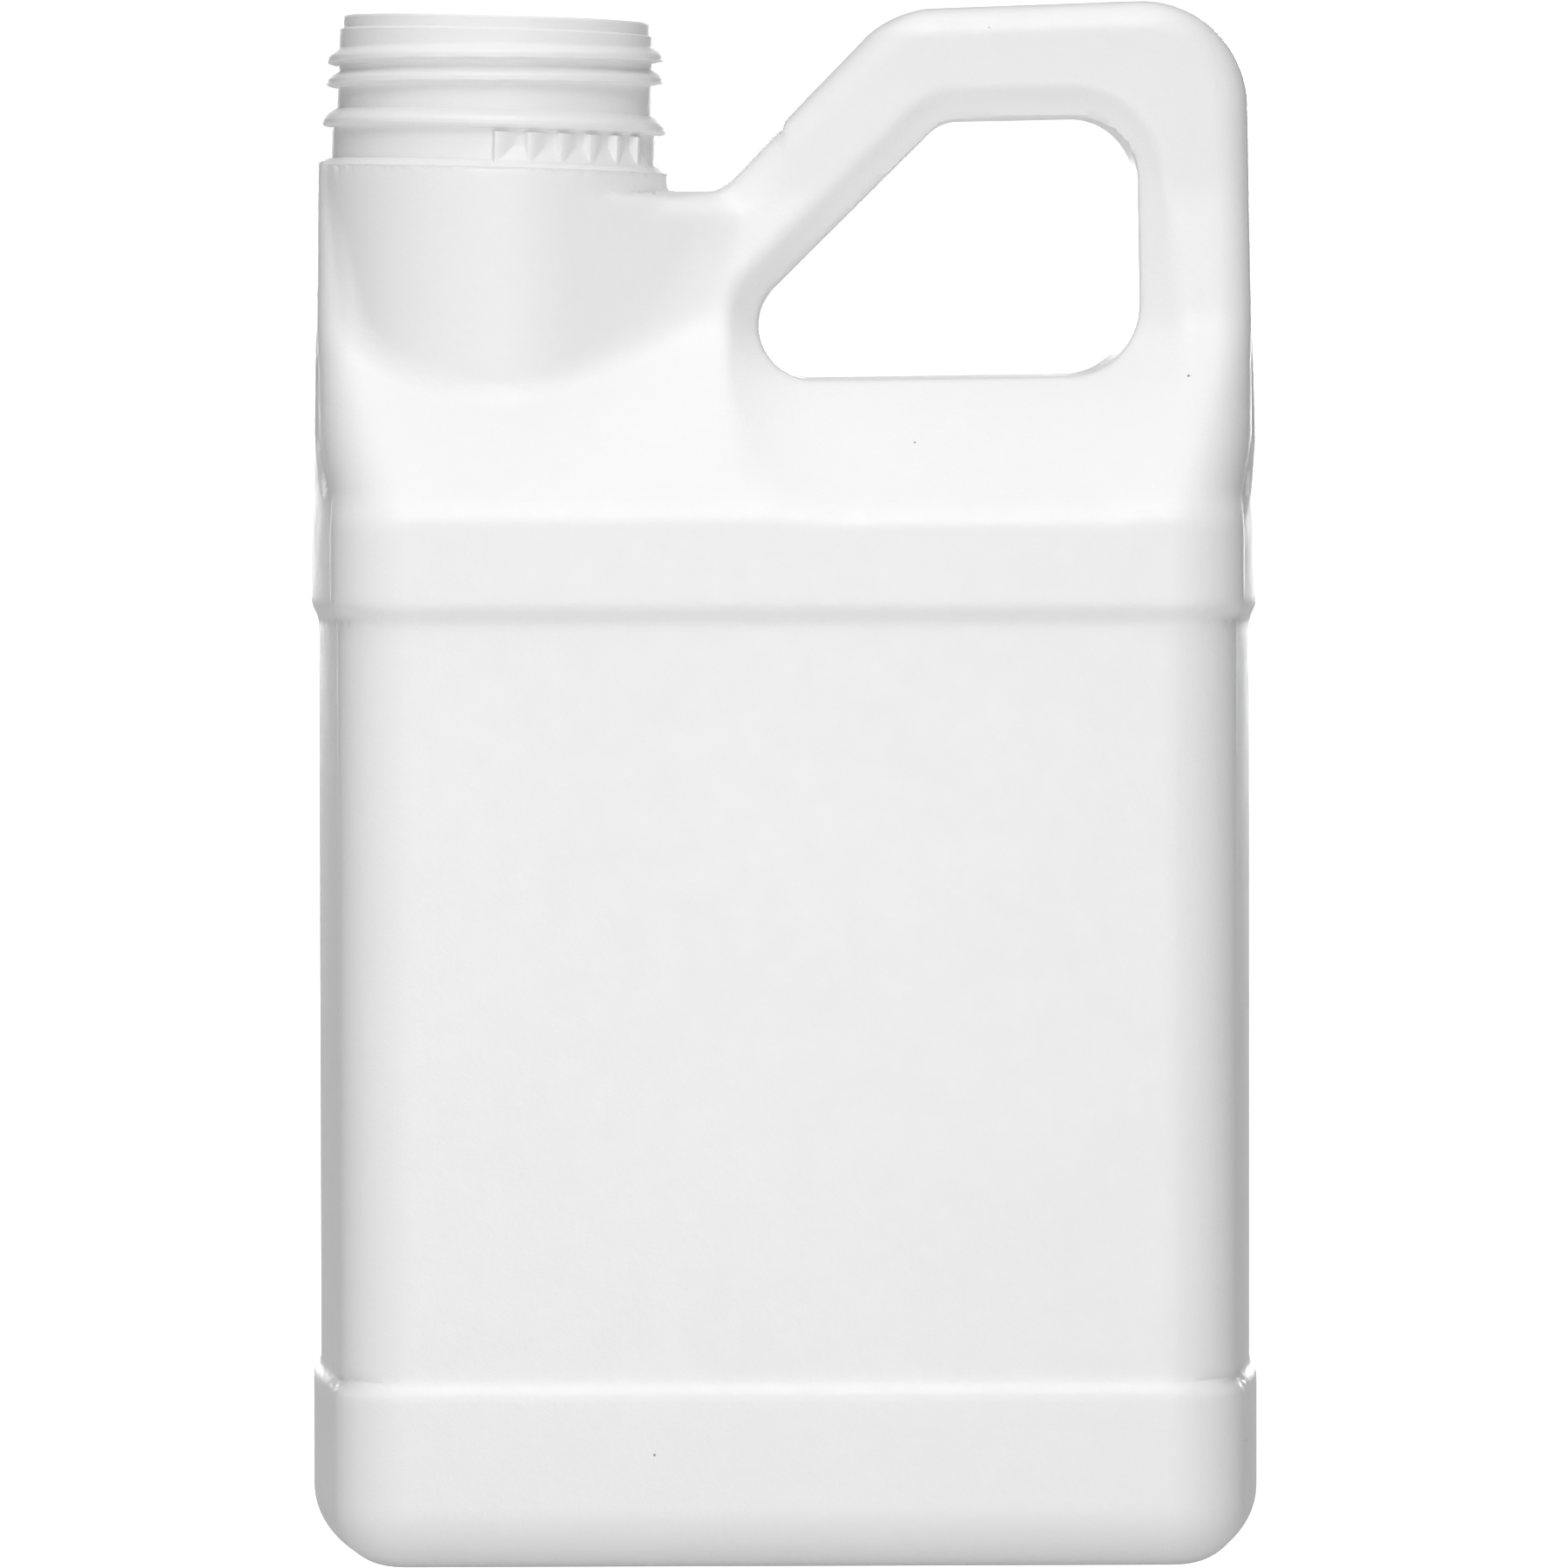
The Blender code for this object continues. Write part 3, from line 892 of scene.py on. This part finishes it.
@dataclass(frozen=True)
class BlowMouldedHdpe:
    """White HDPE as it leaves a sand-blasted mould.

    The mould's blasting leaves a fine grain that breaks up the sheen, the parison leaves faint
    upright streaks, and the pigment is slightly translucent, which softens every edge. A few dark
    specks of burnt resin and the seam where the mould closes tell it from a drawn surface.
    """

    colour: str = "F3F3F3"
    shade: str = "EFEFEF"
    burnt: str = "3A3733"
    ior: float = 1.54
    roughness: float = 0.42
    blasting: Marks = Marks(0.35, 2.0, 0.8, 0.06)
    peel: Marks = Marks(1.6, 1.0, 0.5, 0.12)
    streaks: Marks = Marks(5.0, 2.0, 0.5, 0.05, stretch=50.0)
    smear: tuple[float, float] = (-0.04, 0.05)
    translucence: float = 0.05
    depth_mm: float = 2.0
    cloud_mm: float = 40.0
    speck_mm: float = 0.35
    speck_gap_mm: float = 21.0
    seam_mm: float = 0.25
    seam_height_mm: float = 0.12

    def relief(self, tree: bpy.types.NodeTree, place: bpy.types.NodeSocket) -> bpy.types.NodeSocket:
        """Add the surface's small relief: seam, streaks, peel and grain.

        Args:
            tree: The material's node tree.
            place: The place on the jug.

        Returns:
            The bent normal.
        """
        normal = None
        for marks in (self.blasting, self.peel, self.streaks):
            upright = add_node(tree, "ShaderNodeMapping", inputs={
                "Vector": place, "Scale": (1.0, 1.0, 1.0 / marks.stretch),
            })
            noise = add_node(tree, "ShaderNodeTexNoise", inputs={
                "Vector": upright.outputs["Vector"], "Scale": 1.0 / (marks.width_mm * MM),
                "Detail": marks.detail,
            })
            bump = add_node(tree, "ShaderNodeBump", inputs={
                "Height": noise.outputs["Fac"], "Strength": marks.strength,
                "Distance": marks.height_mm * MM,
            })
            if normal is not None:
                tree.links.new(normal, bump.inputs["Normal"])
            normal = bump.outputs["Normal"]
        depth = add_node(tree, "ShaderNodeSeparateXYZ", inputs={0: place}).outputs["Y"]
        away = add_node(tree, "ShaderNodeMath", {"operation": "ABSOLUTE"}, {0: depth})
        seam = add_node(tree, "ShaderNodeMapRange", inputs={
            "Value": away.outputs[0], "From Min": 0.0, "From Max": self.seam_mm * MM,
            "To Min": 1.0, "To Max": 0.0,
        })
        return add_node(tree, "ShaderNodeBump", inputs={
            "Height": seam.outputs["Result"], "Strength": 1.0, "Distance": self.seam_height_mm * MM,
            "Normal": normal,
        }).outputs["Normal"]

    def tone(self, tree: bpy.types.NodeTree, place: bpy.types.NodeSocket) -> bpy.types.NodeSocket:
        """Add the pigment's colour: almost even, with rare specks of burnt resin.

        Args:
            tree: The material's node tree.
            place: The place on the jug.

        Returns:
            The colour.
        """
        cloud = add_node(tree, "ShaderNodeTexNoise", inputs={
            "Vector": place, "Scale": 1.0 / (self.cloud_mm * MM), "Detail": 2.0,
        })
        even = add_node(tree, "ShaderNodeMix", {"data_type": "RGBA"}, {
            0: cloud.outputs["Fac"], 6: linear(self.shade), 7: linear(self.colour),
        })
        cells = add_node(tree, "ShaderNodeTexVoronoi", inputs={
            "Vector": place, "Scale": 1.0 / (self.speck_gap_mm * MM),
        })
        speck = add_node(tree, "ShaderNodeMapRange", inputs={
            "Value": cells.outputs["Distance"], "From Min": 0.6 * self.speck_mm / self.speck_gap_mm,
            "From Max": self.speck_mm / self.speck_gap_mm, "To Min": 0.8, "To Max": 0.0,
        })
        return add_node(tree, "ShaderNodeMix", {"data_type": "RGBA"}, {
            0: speck.outputs["Result"], 6: even.outputs[2], 7: linear(self.burnt),
        }).outputs[2]

    def material(self) -> bpy.types.Material:
        """Make the plastic as a node material.

        Returns:
            The new material.
        """
        made = bpy.data.materials.new("hdpe_blow_moulded_white")
        made.use_nodes = True
        tree = made.node_tree
        shader = tree.nodes["Principled BSDF"]
        place = add_node(tree, "ShaderNodeTexCoord").outputs["Object"]
        smear = add_node(tree, "ShaderNodeTexNoise", inputs={
            "Vector": place, "Scale": 1.0 / (self.streaks.width_mm * MM), "Detail": 2.0,
        })
        rough = add_node(tree, "ShaderNodeMapRange", inputs={
            "Value": smear.outputs["Fac"], "From Min": 0.3, "From Max": 0.7,
            "To Min": self.roughness + self.smear[0], "To Max": self.roughness + self.smear[1],
        })
        tree.links.new(self.tone(tree, place), shader.inputs["Base Color"])
        tree.links.new(rough.outputs["Result"], shader.inputs["Roughness"])
        tree.links.new(self.relief(tree, place), shader.inputs["Normal"])
        shader.inputs["IOR"].default_value = self.ior
        shader.inputs["Subsurface Weight"].default_value = self.translucence
        shader.inputs["Subsurface Radius"].default_value = (1.0, 1.0, 1.0)
        shader.inputs["Subsurface Scale"].default_value = self.depth_mm * MM
        return made


@dataclass
class Jug:
    """The jug itself, one piece: blown form, neck finish and hollow."""

    form: BlownForm = field(default_factory=BlownForm)
    neck: NeckFinish = field(default_factory=NeckFinish)
    finish: BlowMouldedHdpe = field(default_factory=BlowMouldedHdpe)
    net_low: tuple[float, float, float] = (-93.0 * MM, -60.0 * MM, -4.0 * MM)
    net_high: tuple[float, float, float] = (93.0 * MM, 60.0 * MM, 295.0 * MM)
    net_step: float = 1.2 * MM
    hollow_step: float = 2.4 * MM
    sharp_angle: float = math.radians(40)

    def net(self, step: float) -> FaceNet:
        """The grid for the blown form, a little larger than the jug."""
        return FaceNet(self.net_low, self.net_high, step)

    def build(self) -> bpy.types.Object:
        """Make the jug's mesh.

        Returns:
            The new object.
        """
        coarser = 1.0
        jug = self.net(self.net_step * coarser).draw("jug_shell", self.form.outside)
        hollow = self.net(self.hollow_step * coarser).draw("hollow", self.form.inside)
        cut(hollow, self.neck.build_bore(), Cut.JOIN)
        cut(jug, self.neck.build(), Cut.JOIN)
        cut(jug, hollow, Cut.HOLLOW)
        jug.data.shade_smooth()
        jug.data.set_sharp_from_angle(angle=self.sharp_angle)
        return jug

    def dress(self) -> bpy.types.Object:
        """Build the jug, finish it and tie it to the frame.

        Returns:
            The finished piece.
        """
        jug = self.build()
        jug.data.materials.clear()
        jug.data.materials.append(self.finish.material())
        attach(jug, BODY)
        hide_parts(NODE)
        return jug


def direction(azimuth: float, elevation: float) -> Vector:
    """Find the way from the jug to a light.

    Args:
        azimuth: Degrees round from the front, towards the handle.
        elevation: Degrees above the level.

    Returns:
        The unit vector.
    """
    turn, rise = math.radians(azimuth), math.radians(elevation)
    level = math.cos(rise)
    return Vector((math.sin(turn) * level, -math.cos(turn) * level, math.sin(rise)))


def facing(place: Vector, aim: Vector) -> Matrix:
    """The matrix of a light or camera at a place that looks at an aim."""
    turn = (aim - place).to_track_quat("-Z", "Y").to_matrix().to_4x4()
    return Matrix.Translation(place) @ turn


@dataclass(frozen=True)
class Softbox:
    """A round diffused lamp that shines at the jug."""

    name: str
    azimuth: float
    elevation: float
    distance: float
    size: float
    watts: float

    def build(self, aim: Vector) -> None:
        """Hang the lamp.

        Args:
            aim: The point that it shines at.
        """
        data = bpy.data.lights.new(self.name, "AREA")
        data.shape = "DISK"
        data.size = self.size
        data.energy = self.watts
        lamp = bpy.data.objects.new(self.name, data)
        lamp.matrix_world = facing(aim + direction(self.azimuth, self.elevation) * self.distance, aim)
        bpy.context.scene.collection.objects.link(lamp)


@dataclass(frozen=True)
class Glow:
    """A soft patch of light in the room's far walls."""

    azimuth: float
    elevation: float
    sharpness: float
    strength: float

    def build(self, tree: bpy.types.NodeTree, way: bpy.types.NodeSocket) -> bpy.types.NodeSocket:
        """Add the patch's nodes.

        Args:
            tree: The world's node tree.
            way: The direction that is looked in.

        Returns:
            The patch's strength in that direction.
        """
        along = add_node(tree, "ShaderNodeVectorMath", {"operation": "DOT_PRODUCT"}, {
            0: way, 1: direction(self.azimuth, self.elevation),
        })
        front = add_node(tree, "ShaderNodeMath", {"operation": "MAXIMUM"}, {
            0: along.outputs["Value"], 1: 0.0,
        })
        patch = add_node(tree, "ShaderNodeMath", {"operation": "POWER"}, {
            0: front.outputs[0], 1: self.sharpness,
        })
        return add_node(tree, "ShaderNodeMath", {"operation": "MULTIPLY"}, {
            0: patch.outputs[0], 1: self.strength,
        }).outputs[0]


@dataclass
class Studio:
    """A light table and a white backdrop, soft light from the front and above, and a far camera."""

    camera_distance: float = 1.925
    camera_height: float = 220.0 * MM
    camera_yaw: float = 0.95
    camera_roll: float = -0.09
    lens: float = 234.0
    sensor: float = 36.0
    aim_height: float = 143.15 * MM
    floor_radius: float = 6.0
    floor_colour: str = "AAAAAA"
    floor_glow: float = 0.25
    backdrop: float = 1.2
    softboxes: tuple[Softbox, ...] = (
        Softbox("front_low", 0.0, -6.0, 0.75, 0.35, 1.6),
        Softbox("front_high", 0.0, 45.0, 2.5, 1.0, 16.5),
        Softbox("overhead", 0.0, 65.0, 0.9, 0.35, 0.7),
        Softbox("left_front", -35.0, 15.0, 0.9, 0.35, 0.50),
        Softbox("left_side", -65.0, 10.0, 0.9, 0.35, 0.15),
    )
    glows: tuple[Glow, ...] = (
        Glow(0.0, 90.0, 8.0, 2.1),
        Glow(-60.0, 50.0, 6.0, 0.3),
        Glow(45.0, 10.0, 8.0, 0.3),
        Glow(-170.0, 4.0, 300.0, 34.0),
        Glow(170.0, 4.0, 300.0, 80.0),
    )

    def build_camera(self) -> None:
        """Set the camera far off, a little above the shoulder and a little to the neck's side."""
        place = direction(-self.camera_yaw, 0.0) * self.camera_distance
        place.z = self.camera_height
        data = bpy.data.cameras.new("camera")
        data.lens = self.lens
        data.sensor_width = self.sensor
        camera = bpy.data.objects.new("camera", data)
        roll = Matrix.Rotation(math.radians(self.camera_roll), 4, "Z")
        camera.matrix_world = facing(place, Vector((0.0, 0.0, self.aim_height))) @ roll
        bpy.context.scene.collection.objects.link(camera)
        bpy.context.scene.camera = camera

    def build_world(self) -> None:
        """Light the room by its glows; only the camera sees the white backdrop."""
        world = bpy.data.worlds.new("studio")
        world.use_nodes = True
        tree = world.node_tree
        shine = tree.nodes["Background"]
        way = add_node(tree, "ShaderNodeTexCoord").outputs["Generated"]
        total = None
        for glow in self.glows:
            patch = glow.build(tree, way)
            total = patch if total is None else add_node(tree, "ShaderNodeMath", {}, {
                0: total, 1: patch,
            }).outputs[0]
        rays = add_node(tree, "ShaderNodeLightPath")
        seen = add_node(tree, "ShaderNodeMix", {"data_type": "FLOAT"}, {
            0: rays.outputs["Is Camera Ray"], 2: total, 3: self.backdrop,
        })
        tree.links.new(seen.outputs[0], shine.inputs["Strength"])
        shine.inputs["Color"].default_value = (1.0, 1.0, 1.0, 1.0)
        bpy.context.scene.world = world

    def build_floor(self) -> bpy.types.Object:
        """Lay a light table, lit from below, that runs out of sight.

        Returns:
            The floor.
        """
        turns = [math.tau * i / 64 for i in range(64)]
        corners = [(self.floor_radius * math.cos(a), self.floor_radius * math.sin(a), 0.0) for a in turns]
        floor = mesh_object("floor", corners, [list(range(len(corners)))])
        made = bpy.data.materials.new("acrylic_light_table_white")
        made.use_nodes = True
        tree = made.node_tree
        shader = tree.nodes["Principled BSDF"]
        rays = add_node(tree, "ShaderNodeLightPath")
        glow = add_node(tree, "ShaderNodeMix", {"data_type": "FLOAT"}, {
            0: rays.outputs["Is Camera Ray"], 2: self.floor_glow, 3: self.backdrop,
        })
        shader.inputs["Base Color"].default_value = linear(self.floor_colour)
        shader.inputs["Roughness"].default_value = 0.9
        shader.inputs["Emission Color"].default_value = (1.0, 1.0, 1.0, 1.0)
        tree.links.new(glow.outputs[0], shader.inputs["Emission Strength"])
        floor.data.materials.append(made)
        return floor

    def build(self) -> None:
        """Build floor, lights, world and camera."""
        self.build_floor()
        for softbox in self.softboxes:
            softbox.build(Vector((0.0, 0.0, self.aim_height)))
        self.build_world()
        self.build_camera()
        bpy.context.scene.view_settings.view_transform = "Standard"
        bpy.context.scene.view_settings.look = "None"


def main() -> None:
    """Load the frame, dress the jug in its studio, and log the jug's face count."""
    logging.basicConfig(level=logging.INFO, format="%(name)s: %(message)s")
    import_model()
    Studio().build()
    jug = Jug().dress()
    log.info("%s: %d faces", jug.name, len(jug.data.polygons))


if __name__ == "__main__":
    main()
